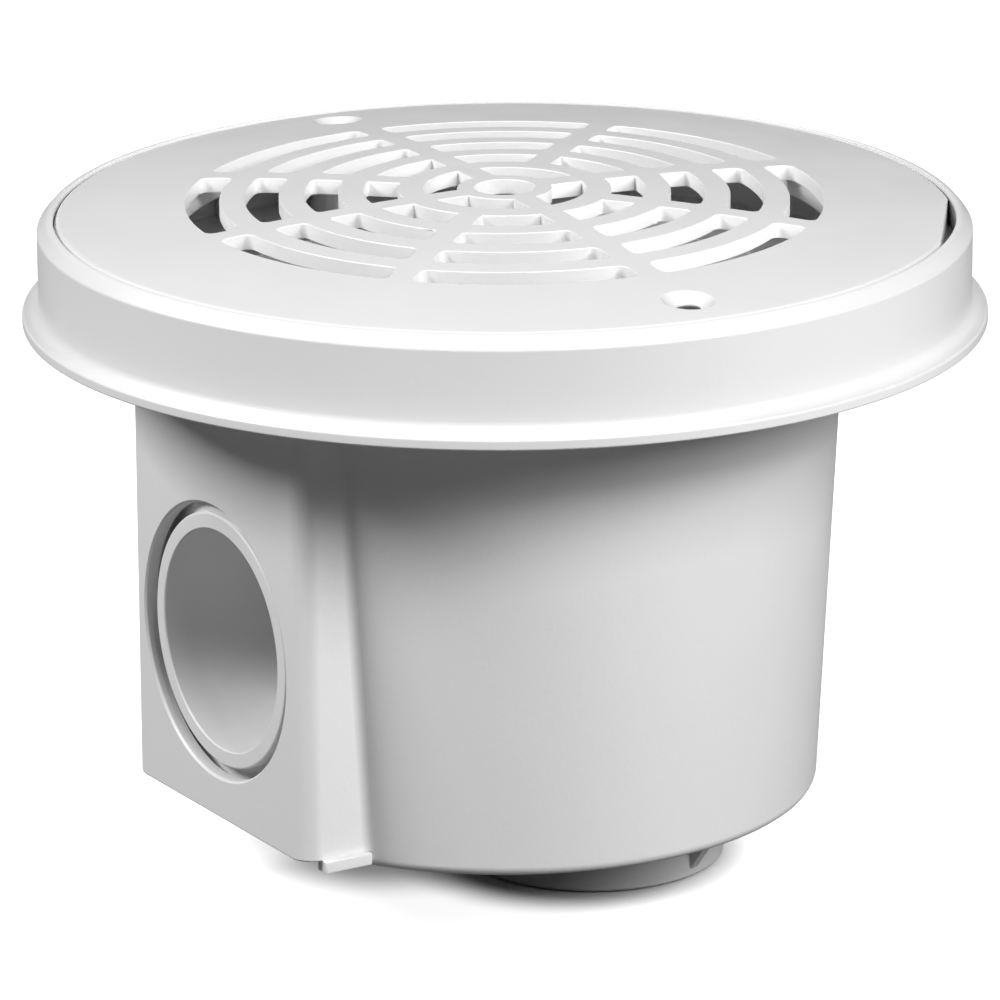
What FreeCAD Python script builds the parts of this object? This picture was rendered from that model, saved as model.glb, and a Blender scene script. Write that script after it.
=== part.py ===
import FreeCAD, Part
import math
import os

# A pool main drain: a round sump with a side pipe socket and a threaded bottom port,
# a collar that is set in the pool floor, and a domed grate that rests in the collar.
# Millimetres. +Z is up and runs along the drain's axis, z 0 is the bottom port's end face,
# and the side socket points along -X.

# Sump
rim_radius = 76.9
foot_radius = 71.2
sump_height = 110.2
sump_wall = 3.2
sump_floor = 4.0
foot_rounding = 2.6
foot_rounding_inside = 3.0

# Bottom port, for a threaded relief valve or pipe
port_offset = 23.0
port_length = 23.0
port_outer_radius = 30.7
port_bore_radius = 22.2
port_lead = 1.6
gusset_thickness = 3.0
gusset_reach = 14.0
gusset_height = 22.0
gusset_angle = 18.0

# Side housing round the pipe socket
housing_half_width = 38.5
housing_wall = 3.0
housing_corner = 5.0
housing_lift = 3.8
window_radius = 31.8
foot_tab_lift = 1.3
foot_tab_length = 12.0
foot_tab_thickness = 3.8
foot_tab_proud = 1.8
foot_tab_inset = 4.9

# Side pipe socket
socket_above_foot = 45.2
socket_radius = 24.3
socket_wall = 5.0
socket_depth = 28.0
socket_setback = 1.5
socket_lead = 1.2
socket_lead_length = 4.0
stop_radius = 20.3
stop_thickness = 3.0

# Collar
collar_height = 23.9
collar_wall = 3.0
grate_clearance = 0.9
bevel_drop = 2.8
bevel_width = 2.4
flange_width = 3.7
flange_thickness = 2.55
flange_fillet = 3.0
flange_edge = 0.5
spigot_length = 12.0
spigot_wall = 2.6
spigot_clearance = 0.3
ledge_drop = 7.0
ledge_width = 4.6
ledge_thickness = 2.5
rib_count = 12
rib_thickness = 2.4
rib_clear_angle = 15.0

# Grate
grate_radius = 101.6
dome_rise = 5.5
dome_crest_inset = 2.6
plate_thickness = 3.5
shoulder_radius = 4.5
skirt_wall = 2.6
slot_rows = 5
slot_field_inset = 29.6
slot_hub_radius = 10.7
slot_bar_width = 5.7
slot_corner_share = 0.26
sector_count = 8
spoke_width = 5.6
centre_hole_radius = 6.9
stiffener_gap = 1.6
stiffener_wall = 2.2
stiffener_depth = 5.5
pry_flat_depth = 2.1
pry_flat_angle = 67.5
cover_angle = -5.3

# Grate screws, taken out, and the brass inserts that they screw into
screw_inset = 12.7
screw_hole_radius = 2.75
countersink_radius = 5.8
countersink_depth = 1.9
post_radius = 6.2
boss_radius = 6.2
boss_drop = 6.2
insert_radius = 3.6
insert_length = 9.0
insert_bore_radius = 2.0
insert_clearance = 0.2
insert_neck = 0.5
insert_neck_length = 1.6
pilot_radius = 2.5
pilot_extra = 3.0

# Heights that follow from the values above
floor_z = port_length
rim_z = floor_z + sump_height
crest_z = rim_z + collar_height
flange_top_z = rim_z + flange_thickness
ledge_z = crest_z - ledge_drop
boss_z = crest_z - boss_drop
dome_z = crest_z + dome_rise
socket_z = floor_z + socket_above_foot
housing_bottom_z = floor_z + housing_lift
socket_outer_radius = socket_radius + socket_wall
socket_face_x = rim_radius - socket_setback
draft = (rim_radius - foot_radius) / sump_height
inside_rim_radius = rim_radius - sump_wall
inside_foot_radius = foot_radius + draft * sump_floor - sump_wall

# Radii of the cover that follow from the grate's own
collar_bore_radius = grate_radius + grate_clearance
collar_radius = collar_bore_radius + collar_wall
flange_radius = collar_radius + flange_width
dome_radius_at_crest = grate_radius - dome_crest_inset
pry_flat_distance = grate_radius - pry_flat_depth
screw_circle_radius = grate_radius - screw_inset
slot_field_radius = grate_radius - slot_field_inset
slot_room = slot_field_radius - slot_hub_radius - slot_bar_width * (slot_rows - 1)
slot_width = slot_room / slot_rows
slot_pitch = slot_width + slot_bar_width
slot_corner = slot_width * slot_corner_share

# The screws' line lies a little off the line across the side socket
screw_side = cover_angle - 90.0

up = FreeCAD.Vector(0, 0, 1)
outward = FreeCAD.Vector(-1, 0, 0)
origin = FreeCAD.Vector(0, 0, 0)


def spot(radius, angle, z):
    a = math.radians(angle)
    return FreeCAD.Vector(radius * math.cos(a), radius * math.sin(a), z)


def turned(corners):
    points = [FreeCAD.Vector(r, 0, z) for r, z in corners]
    points.append(points[0])
    face = Part.Face(Part.makePolygon(points))
    return face.revolve(origin, up, 360)


def spun(shape, angle):
    copy = shape.copy()
    copy.rotate(origin, up, angle)
    return copy


def block(length, width, height, x, y, z):
    return Part.makeBox(length, width, height, FreeCAD.Vector(x, y, z))


def circle_edges(shape, radius, z, slack=0.02):
    found = []
    for edge in shape.Edges:
        box = edge.BoundBox
        flat = abs(box.ZMin - z) < slack and abs(box.ZMax - z) < slack
        if flat and hasattr(edge.Curve, "Radius") and abs(edge.Curve.Radius - radius) < slack:
            found.append(edge)
    return found


# The sump's outer shell is a drafted cup with a rounded foot
cup = turned([(0, floor_z), (foot_radius, floor_z), (rim_radius, rim_z), (0, rim_z)])
cup = cup.makeFillet(foot_rounding, circle_edges(cup, foot_radius, floor_z))

# The inside of the cup follows the same draft
hollow_floor_z = floor_z + sump_floor
hollow_top_z = rim_z + 1.0
hollow = turned(
    [
        (0, hollow_floor_z),
        (inside_foot_radius, hollow_floor_z),
        (inside_rim_radius + draft, hollow_top_z),
        (0, hollow_top_z),
    ]
)
hollow = hollow.makeFillet(foot_rounding_inside, circle_edges(hollow, inside_foot_radius, hollow_floor_z))

# The square housing stands out from the cup and is hollow behind its face
housing_height = rim_z - housing_bottom_z
housing = block(
    rim_radius, 2 * housing_half_width, housing_height, -rim_radius, -housing_half_width, housing_bottom_z
)
corners = []
for edge in housing.Edges:
    box = edge.BoundBox
    if box.ZLength > housing_height - 0.1 and box.XMax < 1.0 - rim_radius:
        corners.append(edge)
housing = housing.makeFillet(housing_corner, corners)
pocket_half_width = housing_half_width - housing_wall
pocket_front = rim_radius - housing_wall
pocket = block(
    pocket_front, 2 * pocket_half_width, housing_height, -pocket_front, -pocket_half_width, floor_z
)
pocket.translate(FreeCAD.Vector(0, 0, housing_lift - housing_wall))
window = Part.makeCylinder(window_radius, rim_radius, FreeCAD.Vector(0, 0, socket_z), outward)
housing = housing.cut(pocket).cut(window)

# A small tab under each side wall of the housing ends a little above the cup's foot
tab_x = -rim_radius + foot_tab_inset
tab_y = housing_half_width + foot_tab_proud - foot_tab_thickness
tab_low_z = floor_z + foot_tab_lift
tab_height = housing_bottom_z + 0.3 - tab_low_z
tabs = []
for side in (-1, 1):
    low_y = tab_y if side > 0 else -tab_y - foot_tab_thickness
    tabs.append(block(foot_tab_length, foot_tab_thickness, tab_height, tab_x, low_y, tab_low_z))

# The bottom port sits off the axis, away from the side socket, and is braced by four gussets
port_axis = FreeCAD.Vector(port_offset, 0, 0)
port = Part.makeCylinder(port_outer_radius, floor_z + sump_floor, port_axis, up)
gusset_tip = port_outer_radius + gusset_reach
gusset_root = (port_outer_radius + port_bore_radius) / 2
gusset_top = floor_z + 1.0
gusset_low = gusset_top - gusset_height
gusset_corners = [
    FreeCAD.Vector(gusset_root, -gusset_thickness / 2, gusset_top),
    FreeCAD.Vector(gusset_tip, -gusset_thickness / 2, gusset_top),
    FreeCAD.Vector(gusset_tip, -gusset_thickness / 2, gusset_top - 2.0),
    FreeCAD.Vector(port_outer_radius, -gusset_thickness / 2, gusset_low),
    FreeCAD.Vector(gusset_root, -gusset_thickness / 2, gusset_low),
]
gusset_face = Part.Face(Part.makePolygon(gusset_corners + gusset_corners[:1]))
gusset = gusset_face.extrude(FreeCAD.Vector(0, gusset_thickness, 0))
gussets = []
for quarter in range(4):
    brace = spun(gusset, gusset_angle + 90 * quarter)
    brace.translate(port_axis)
    gussets.append(brace)

# The pipe socket is a tube through the cup's wall with a stop for the pipe at its inner end
tube_length = socket_depth + stop_thickness
socket_mouth = FreeCAD.Vector(-socket_face_x, 0, socket_z)
inward = FreeCAD.Vector(1, 0, 0)
tube = Part.makeCylinder(socket_outer_radius, tube_length, socket_mouth, inward)
pipe_bore = Part.makeCylinder(socket_radius, socket_depth, socket_mouth, inward)
stop_bore = Part.makeCylinder(stop_radius, tube_length + 1.0, socket_mouth, inward)
lead_in = Part.makeCone(
    socket_radius + socket_lead, socket_radius, socket_lead_length, socket_mouth, inward
)

# The threaded port's bore, with a lead-in at its mouth
port_bore = Part.makeCylinder(port_bore_radius, floor_z + sump_floor + 1.0, port_axis, up)
port_mouth = Part.makeCone(port_bore_radius + port_lead, port_bore_radius, port_lead, port_axis, up)

sump = cup.fuse([housing] + tabs + [port] + gussets)
sump = sump.cut(hollow)
sump = sump.fuse(tube)
sump = sump.cut([pipe_bore, stop_bore, lead_in, port_bore, port_mouth])
sump = sump.removeSplitter()

# The collar is one turned section: bevelled wall, flange, grate ledge and the spigot in the sump
spigot_low_z = rim_z - spigot_length
spigot_radius = inside_rim_radius - draft * spigot_length - spigot_clearance
opening_radius = spigot_radius - spigot_wall
ledge_radius = collar_bore_radius - ledge_width
collar = turned(
    [
        (opening_radius, spigot_low_z),
        (spigot_radius, spigot_low_z),
        (spigot_radius, rim_z),
        (flange_radius, rim_z),
        (flange_radius, flange_top_z),
        (collar_radius, flange_top_z),
        (collar_radius, crest_z - bevel_drop),
        (collar_radius - bevel_width, crest_z),
        (collar_bore_radius, crest_z),
        (collar_bore_radius, ledge_z),
        (ledge_radius, ledge_z),
        (ledge_radius, ledge_z - ledge_thickness),
        (collar_bore_radius, ledge_z - ledge_thickness),
        (collar_bore_radius, flange_top_z),
        (opening_radius, flange_top_z),
    ]
)
collar = collar.makeFillet(flange_fillet, circle_edges(collar, collar_radius, flange_top_z))
flange_rims = circle_edges(collar, flange_radius, flange_top_z)
flange_rims += circle_edges(collar, flange_radius, rim_z)
collar = collar.makeFillet(flange_edge, flange_rims)

# Ribs hold the ledge up
rib_length = collar_bore_radius + 1.0 - ledge_radius
rib_height = ledge_z - ledge_thickness - flange_top_z
ribs = []
for number in range(rib_count):
    rib = block(
        rib_length, rib_thickness, rib_height + 1.0, ledge_radius, -rib_thickness / 2, flange_top_z - 0.5
    )
    ribs.append(spun(rib, screw_side + rib_clear_angle + 360.0 * number / rib_count))
collar = collar.fuse(ribs)

# Two bosses on the collar's floor take the inserts
seat_z = boss_z - insert_length
bosses = []
boss_bores = []
for turn in (0, 180):
    foot = spot(screw_circle_radius, screw_side + turn, flange_top_z - 1.0)
    seat = spot(screw_circle_radius, screw_side + turn, seat_z)
    pilot_foot = spot(screw_circle_radius, screw_side + turn, seat_z - pilot_extra)
    bosses.append(Part.makeCylinder(boss_radius, boss_z - flange_top_z + 1.0, foot, up))
    boss_bores.append(
        Part.makeCylinder(insert_radius + insert_clearance, insert_length + 1.0, seat, up)
    )
    boss_bores.append(Part.makeCylinder(pilot_radius, pilot_extra + 1.0, pilot_foot, up))
collar = collar.fuse(bosses)
collar = collar.cut(boss_bores)
collar = collar.removeSplitter()

# The brass inserts: a sleeve with a narrower neck at its mid height
inserts = []
for turn in (0, 180):
    sleeve = turned(
        [
            (insert_bore_radius, seat_z),
            (insert_radius, seat_z),
            (insert_radius, seat_z + insert_length / 2 - insert_neck_length / 2),
            (insert_radius - insert_neck, seat_z + insert_length / 2 - insert_neck_length / 2),
            (insert_radius - insert_neck, seat_z + insert_length / 2 + insert_neck_length / 2),
            (insert_radius, seat_z + insert_length / 2 + insert_neck_length / 2),
            (insert_radius, seat_z + insert_length),
            (insert_bore_radius, seat_z + insert_length),
        ]
    )
    sleeve.translate(spot(screw_circle_radius, screw_side + turn, 0))
    inserts.append(sleeve)
inserts = Part.makeCompound(inserts)

# The grate's plate lies between two domes that share a centre
dome_radius = (dome_radius_at_crest ** 2 + dome_rise ** 2) / (2 * dome_rise)
dome_centre = FreeCAD.Vector(0, 0, dome_z - dome_radius)
outer_dome = Part.makeSphere(dome_radius, dome_centre)
inner_dome = Part.makeSphere(dome_radius - plate_thickness, dome_centre)
drum = Part.makeCylinder(grate_radius, dome_z - ledge_z, FreeCAD.Vector(0, 0, ledge_z), up)
lid = drum.common(outer_dome)
edge_z = dome_centre.z + math.sqrt(dome_radius ** 2 - grate_radius ** 2)
lid = lid.makeFillet(shoulder_radius, circle_edges(lid, grate_radius, edge_z))

# The plate's underside is left open inside the skirt
core_radius = grate_radius - skirt_wall
core = Part.makeCylinder(core_radius, dome_z - ledge_z + 1.0, FreeCAD.Vector(0, 0, ledge_z - 1.0), up)
core = core.common(inner_dome)

# A stiffening ring runs round the slotted field under the plate
stiffener_radius = slot_field_radius + stiffener_gap
stiffener_low_z = crest_z - stiffener_depth
stiffener = turned(
    [
        (stiffener_radius, stiffener_low_z),
        (stiffener_radius + stiffener_wall, stiffener_low_z),
        (stiffener_radius + stiffener_wall, dome_z),
        (stiffener_radius, dome_z),
    ]
)

# Posts under the screw holes land on the collar's bosses
posts = []
for turn in (0, 180):
    posts.append(
        Part.makeCylinder(post_radius, dome_z - boss_z, spot(screw_circle_radius, screw_side + turn, boss_z), up)
    )
core = core.cut([stiffener] + posts)
grate = lid.cut(core)


# Each slot is an arc with parallel sides along the spokes and rounded corners
def slot(inner, outer, sectors, height, low_z):
    ring = Part.makeCylinder(outer, height, FreeCAD.Vector(0, 0, low_z), up)
    ring = ring.cut(Part.makeCylinder(inner, height, FreeCAD.Vector(0, 0, low_z), up))
    half = math.radians(180.0 / sectors)
    reach = outer * 2
    point = spoke_width / 2 / math.sin(half)
    wedge = Part.Face(
        Part.makePolygon(
            [
                FreeCAD.Vector(point, 0, low_z),
                FreeCAD.Vector(point + reach * math.cos(half), -reach * math.sin(half), low_z),
                FreeCAD.Vector(point + reach * math.cos(half), reach * math.sin(half), low_z),
                FreeCAD.Vector(point, 0, low_z),
            ]
        )
    )
    piece = ring.common(wedge.extrude(FreeCAD.Vector(0, 0, height)))
    uprights = [edge for edge in piece.Edges if edge.BoundBox.ZLength > height - 0.1]
    return piece.makeFillet(slot_corner, uprights)


# Eight sectors of slots, and only four slots in the innermost row
cutters = []
cut_height = dome_z - ledge_z + 2.0
for row in range(slot_rows):
    outer = slot_field_radius - row * slot_pitch
    inner = outer - slot_width
    sectors = sector_count // 2 if row == slot_rows - 1 else sector_count
    master = slot(inner, outer, sectors, cut_height, ledge_z - 1.0)
    for number in range(sectors):
        cutters.append(spun(master, screw_side + 360.0 * (number + 0.5) / sectors))
cutters.append(
    Part.makeCylinder(centre_hole_radius, cut_height, FreeCAD.Vector(0, 0, ledge_z - 1.0), up)
)

# Countersunk screw holes
hole_top_z = dome_centre.z + math.sqrt(dome_radius ** 2 - screw_circle_radius ** 2)
for turn in (0, 180):
    mouth = spot(screw_circle_radius, screw_side + turn, hole_top_z - countersink_depth)
    spread = (countersink_radius - screw_hole_radius) / countersink_depth
    cone_height = countersink_depth + 1.0
    cutters.append(
        Part.makeCone(screw_hole_radius, screw_hole_radius + spread * cone_height, cone_height, mouth, up)
    )
    cutters.append(
        Part.makeCylinder(screw_hole_radius, cut_height, spot(screw_circle_radius, screw_side + turn, boss_z - 1.0), up)
    )

# A flat on the rim leaves room to pry the grate out
pry = block(grate_radius, 2 * grate_radius, cut_height, pry_flat_distance, -grate_radius, ledge_z - 1.0)
cutters.append(spun(pry, screw_side + pry_flat_angle))
grate = grate.cut(cutters)
grate = grate.removeSplitter()

os.makedirs("parts", exist_ok=True)
sump.exportStep("parts/sump_body.step")
collar.exportStep("parts/collar_ring.step")
grate.exportStep("parts/grate.step")
inserts.exportStep("parts/screw_inserts.step")
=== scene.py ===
import math

import bmesh
import bpy
from mathutils import Matrix, Vector


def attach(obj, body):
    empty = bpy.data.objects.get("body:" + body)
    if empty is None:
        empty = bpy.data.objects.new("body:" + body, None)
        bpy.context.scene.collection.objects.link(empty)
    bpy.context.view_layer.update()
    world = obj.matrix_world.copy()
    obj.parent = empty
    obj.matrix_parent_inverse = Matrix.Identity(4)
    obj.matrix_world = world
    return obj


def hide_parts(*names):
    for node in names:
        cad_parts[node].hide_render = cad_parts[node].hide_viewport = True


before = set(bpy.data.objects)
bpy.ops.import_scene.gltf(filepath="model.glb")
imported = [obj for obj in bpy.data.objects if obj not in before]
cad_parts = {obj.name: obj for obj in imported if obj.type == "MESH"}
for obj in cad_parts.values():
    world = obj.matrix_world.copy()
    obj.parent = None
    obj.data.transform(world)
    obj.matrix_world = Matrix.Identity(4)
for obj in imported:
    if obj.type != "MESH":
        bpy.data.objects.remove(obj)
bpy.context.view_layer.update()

# Sump body: one grey-white plastic moulding. A drafted cup has a square housing at its side
# round the pipe socket, and a bottom port boss braced by gussets. The mould leaves it satin.
SUMP_STEPS = 192
RIM_Z = 0.1332
FLOOR_Z = 0.023
RIM_RADIUS = 0.0769
FOOT_RADIUS = 0.0712
DRAFT = (RIM_RADIUS - FOOT_RADIUS) / (RIM_Z - FLOOR_Z)
CUP_WALL = 0.0032
CUP_FLOOR = 0.004


def only(piece):
    bpy.ops.object.select_all(action="DESELECT")
    piece.select_set(True)
    bpy.context.view_layer.objects.active = piece


def edit(piece):
    only(piece)
    bpy.ops.object.mode_set(mode="EDIT")


def done():
    bpy.ops.object.mode_set(mode="OBJECT")


def settle(piece):
    only(piece)
    bpy.ops.object.transform_apply(location=True, rotation=True, scale=True)


def pick(piece, kind, test):
    # Selects the edges or points that pass the test, in edit mode
    bpy.ops.mesh.select_all(action="DESELECT")
    bpy.ops.mesh.select_mode(type=kind)
    mesh = bmesh.from_edit_mesh(piece.data)
    for part in mesh.edges if kind == "EDGE" else mesh.verts:
        if test(part):
            part.select_set(True)
    mesh.select_flush_mode()
    bmesh.update_edit_mesh(piece.data)


def lathe(name, profile, steps, start_cap=False, end_cap=False, joined=False):
    # Turns a profile of (radius, height) by extruding a ring from point to point
    radius, height = profile[0]
    fill = "NGON" if start_cap else "NOTHING"
    bpy.ops.object.select_all(action="DESELECT")
    bpy.ops.mesh.primitive_circle_add(vertices=steps, radius=radius, location=(0, 0, height), fill_type=fill)
    piece = bpy.context.object
    piece.name = name
    piece.data.name = name
    settle(piece)
    edit(piece)
    bpy.ops.mesh.select_all(action="SELECT")
    if start_cap:
        bpy.ops.mesh.select_mode(type="EDGE")
        bpy.ops.mesh.region_to_loop()
    for next_radius, next_height in profile[1:]:
        bpy.ops.mesh.extrude_edges_move()
        if next_radius != radius:
            ratio = next_radius / radius
            bpy.ops.transform.resize(value=(ratio, ratio, 1), center_override=(0, 0, height))
        if next_height != height:
            bpy.ops.transform.translate(value=(0, 0, next_height - height))
        radius, height = next_radius, next_height
    if end_cap:
        bpy.ops.mesh.edge_face_add()
    bpy.ops.mesh.select_all(action="SELECT")
    if joined:
        bpy.ops.mesh.remove_doubles(threshold=0.00001)
    bpy.ops.mesh.normals_make_consistent(inside=False)
    done()
    return piece


def turned_solid(name, profile, steps):
    # A lathed solid that is closed at both ends
    return lathe(name, profile, steps, start_cap=True, end_cap=True)


def rounded(corners, count=4):
    # Profile points in which each corner (radius, height, rounding) becomes a short arc
    points = []
    for number, (radius, height, rounding) in enumerate(corners):
        if rounding == 0:
            points.append((radius, height))
            continue
        here = Vector((radius, height))
        before = (Vector(corners[number - 1][:2]) - here).normalized()
        after = (Vector(corners[(number + 1) % len(corners)][:2]) - here).normalized()
        half = before.angle(after) / 2
        centre = here + (before + after).normalized() * rounding / math.sin(half)
        first = here + before * rounding / math.tan(half) - centre
        last = here + after * rounding / math.tan(half) - centre
        start = math.atan2(first.y, first.x)
        sweep = (math.atan2(last.y, last.x) - start + math.pi) % (2 * math.pi) - math.pi
        for step in range(count + 1):
            turn = start + sweep * step / count
            points.append((centre.x + rounding * math.cos(turn), centre.y + rounding * math.sin(turn)))
    return points


def carve(piece, tool, operation):
    # Joins a tool to the piece or cuts it out of the piece, and uses the tool up
    only(piece)
    change = piece.modifiers.new(operation, "BOOLEAN")
    change.operation = operation
    change.solver = "EXACT"
    change.object = tool
    bpy.ops.object.modifier_apply(modifier=change.name)
    bpy.data.objects.remove(tool)


def block(name, low, high):
    # A squared-up solid between two corners
    bpy.ops.object.select_all(action="DESELECT")
    middle = [(a + b) / 2 for a, b in zip(low, high)]
    bpy.ops.mesh.primitive_cube_add(size=1, location=middle)
    piece = bpy.context.object
    piece.name = name
    piece.data.name = name
    piece.scale = [b - a for a, b in zip(low, high)]
    settle(piece)
    return piece


def place(piece, turn, spot):
    piece.rotation_euler = turn
    piece.location = spot
    settle(piece)
    return piece


def turned_about_axis(piece, turn):
    return place(piece, (0, 0, turn), (0, 0, 0))


def copy_of(piece):
    twin = piece.copy()
    twin.data = piece.data.copy()
    bpy.context.collection.objects.link(twin)
    return twin


def soften(piece, test, size, segments):
    # Rounds the edges that pass the test
    edit(piece)
    pick(piece, "EDGE", test)
    bpy.ops.mesh.bevel(offset=size, segments=segments, affect="EDGES", clamp_overlap=True)
    done()


def is_upright(edge, length):
    return abs(edge.verts[0].co.z - edge.verts[1].co.z) > length


def finish_surface(piece, angle=32.0):
    # Closes hairline gaps, then lets smooth faces meet at crisp moulded edges
    edit(piece)
    bpy.ops.mesh.select_all(action="SELECT")
    bpy.ops.mesh.remove_doubles(threshold=0.000004)
    bpy.ops.mesh.delete_loose(use_verts=True, use_edges=True, use_faces=False)
    bpy.ops.mesh.select_all(action="SELECT")
    bpy.ops.mesh.fill_holes(sides=6)
    done()
    only(piece)
    bpy.ops.object.shade_smooth_by_angle(angle=math.radians(angle))
    evener = piece.modifiers.new("Even shading", "WEIGHTED_NORMAL")
    evener.keep_sharp = True
    bpy.ops.object.modifier_apply(modifier=evener.name)


def thread(name, radius, ridge, pitch, turns, steps, low):
    # A screw thread's ridge on the wall of a bore, wound up from a three-sided section
    bpy.ops.object.select_all(action="DESELECT")
    bpy.ops.mesh.primitive_circle_add(vertices=3, radius=ridge, fill_type="NOTHING")
    piece = bpy.context.object
    piece.name = name
    root = radius + ridge * 0.2
    half_foot = pitch * 0.44
    corners = [(root, -half_foot), (root, half_foot), (radius - ridge, 0)]
    for corner, (across, height) in zip(piece.data.vertices, corners):
        corner.co = (across, 0, low + height)
    only(piece)
    winding = piece.modifiers.new("Winding", "SCREW")
    winding.axis = "Z"
    winding.screw_offset = pitch
    winding.iterations = turns
    winding.steps = steps
    winding.render_steps = steps
    winding.use_smooth_shade = False
    bpy.ops.object.modifier_apply(modifier=winding.name)
    edit(piece)
    bpy.ops.mesh.select_all(action="SELECT")
    bpy.ops.mesh.remove_doubles(threshold=0.000001)
    bpy.ops.mesh.fill_holes(sides=4)
    bpy.ops.mesh.normals_make_consistent(inside=False)
    done()
    return piece


sump = turned_solid(
    "sump_body",
    rounded(
        [
            (0.060, FLOOR_Z, 0),
            (FOOT_RADIUS, FLOOR_Z, 0.0026),
            (RIM_RADIUS, RIM_Z, 0.0004),
            (0.068, RIM_Z, 0),
        ],
        6,
    ),
    SUMP_STEPS,
)

# The housing is a shell with rounded long corners and a round window for the socket
HOUSING_HALF = 0.0385
HOUSING_LOW = 0.0268
HOUSING_TOP = RIM_Z - 0.0001
HOUSING_WALL = 0.003
HOUSING_CORNER = 0.005
WINDOW_RADIUS = 0.0318
SOCKET_Z = 0.0682
FACE_LIMIT = -0.07


def is_outer_corner(edge):
    # One of the housing's two long corners away from the cup
    return is_upright(edge, 0.05) and all(v.co.x < FACE_LIMIT for v in edge.verts)


def is_lower_rim(edge):
    return all(v.co.z < HOUSING_LOW + 0.0001 and v.co.x < -0.001 for v in edge.verts)


housing = block("housing", (-RIM_RADIUS, -HOUSING_HALF, HOUSING_LOW), (0, HOUSING_HALF, HOUSING_TOP))
soften(housing, is_outer_corner, size=HOUSING_CORNER, segments=10)
soften(housing, is_lower_rim, size=0.0006, segments=3)
pocket = block(
    "pocket",
    (-RIM_RADIUS + HOUSING_WALL, -HOUSING_HALF + HOUSING_WALL, HOUSING_LOW - HOUSING_WALL),
    (0.001, HOUSING_HALF - HOUSING_WALL, RIM_Z - HOUSING_WALL),
)
soften(pocket, is_outer_corner, size=HOUSING_CORNER - HOUSING_WALL, segments=4)
carve(housing, pocket, "DIFFERENCE")
window = turned_solid(
    "window",
    [(WINDOW_RADIUS + 0.0022, -0.002)]
    + rounded([(WINDOW_RADIUS + 0.0005, 0, 0), (WINDOW_RADIUS, 0.0005, 0.0004), (WINDOW_RADIUS, 0.060, 0)]),
    96,
)
place(window, (0, math.radians(90), 0), (-RIM_RADIUS, 0, SOCKET_Z))
carve(housing, window, "DIFFERENCE")
carve(sump, housing, "UNION")

WEB_ROUNDING = 0.0026


def web_at(side):
    # The hollow radius that the mould leaves in the 120 degree corner between housing and cup
    along_cup = Vector((0.5, 0.866))
    into_cup = Vector((0.866, -0.5))
    into_corner = Vector((0.5, -0.866))
    out_of_corner = Vector((-0.5, 0.866))
    reach = WEB_ROUNDING * 0.577
    sunk = 0.00002
    foot_radius = FOOT_RADIUS + DRAFT * (HOUSING_LOW - FLOOR_Z)
    foot_x = -math.sqrt(foot_radius ** 2 - HOUSING_HALF ** 2)
    rim_x = -math.sqrt(RIM_RADIUS ** 2 - HOUSING_HALF ** 2)
    middle = out_of_corner * WEB_ROUNDING / math.sin(math.radians(60))
    section = [into_corner * 0.0006, Vector((-reach, -sunk))]
    for step in range(1, 10):
        turn = math.radians(-90 + 6 * step)
        section.append(middle + Vector((math.cos(turn), math.sin(turn))) * WEB_ROUNDING)
    section.append(along_cup * reach + into_cup * sunk)
    bpy.ops.object.select_all(action="DESELECT")
    bpy.ops.mesh.primitive_circle_add(vertices=len(section), radius=WEB_ROUNDING, fill_type="NGON")
    web = bpy.context.object
    web.name = "corner web"
    for corner, (along, out) in zip(web.data.vertices, section):
        corner.co = (foot_x + along, side * (HOUSING_HALF + out), HOUSING_LOW + 0.0004)
    edit(web)
    bpy.ops.mesh.select_all(action="SELECT")
    bpy.ops.mesh.extrude_region_move()
    bpy.ops.transform.translate(value=(rim_x - foot_x, 0, RIM_Z - HOUSING_LOW - 0.001))
    bpy.ops.mesh.select_all(action="SELECT")
    bpy.ops.mesh.normals_make_consistent(inside=False)
    done()
    return web


for side in (-1, 1):
    carve(sump, web_at(side), "UNION")

# A small tab under each side wall of the housing ends a little above the cup's foot
TAB_LOW = 0.0243
TAB_SPAN = (-0.0720, -0.0600)
TAB_INSIDE = 0.002
TAB_PROUD = 0.0018
for side in (-1, 1):
    edges = sorted((side * (HOUSING_HALF - TAB_INSIDE), side * (HOUSING_HALF + TAB_PROUD)))
    tab = block("foot tab", (TAB_SPAN[0], edges[0], TAB_LOW), (TAB_SPAN[1], edges[1], HOUSING_LOW + 0.0003))
    soften(tab, lambda edge: True, size=0.0004, segments=2)
    carve(sump, tab, "UNION")

# The port boss stands under the cup, off its axis, between four tapered gussets
PORT_X = 0.023
PORT_RADIUS = 0.0307
PORT_BORE = 0.0222
PORT_MOUTH = 0.0238
PORT_LEAD = 0.0016
port = turned_solid(
    "port",
    rounded([(0.026, 0, 0), (PORT_RADIUS, 0, 0.0008), (PORT_RADIUS, FLOOR_Z + 0.002, 0)]),
    128,
)
place(port, (0, 0, 0), (PORT_X, 0, 0))
carve(sump, port, "UNION")
GUSSET_LOW = 0.002
GUSSET_TOP = 0.024
GUSSET_HALF = 0.0015
GUSSET_SPAN = (0.0264, 0.0447)
GUSSET_SLOPE = (0.8192, 0, -0.5734)
GUSSET_TURN = 18
gusset = block(
    "gusset",
    (GUSSET_SPAN[0], -GUSSET_HALF, GUSSET_LOW),
    (GUSSET_SPAN[1], GUSSET_HALF, GUSSET_TOP),
)
edit(gusset)
bpy.ops.mesh.select_all(action="SELECT")
bpy.ops.mesh.bisect(
    plane_co=(PORT_RADIUS, 0, GUSSET_LOW), plane_no=GUSSET_SLOPE, use_fill=True, clear_outer=True
)
done()
soften(gusset, lambda edge: min(v.co.z for v in edge.verts) < GUSSET_TOP - 0.0005, size=0.0004, segments=2)
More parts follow.
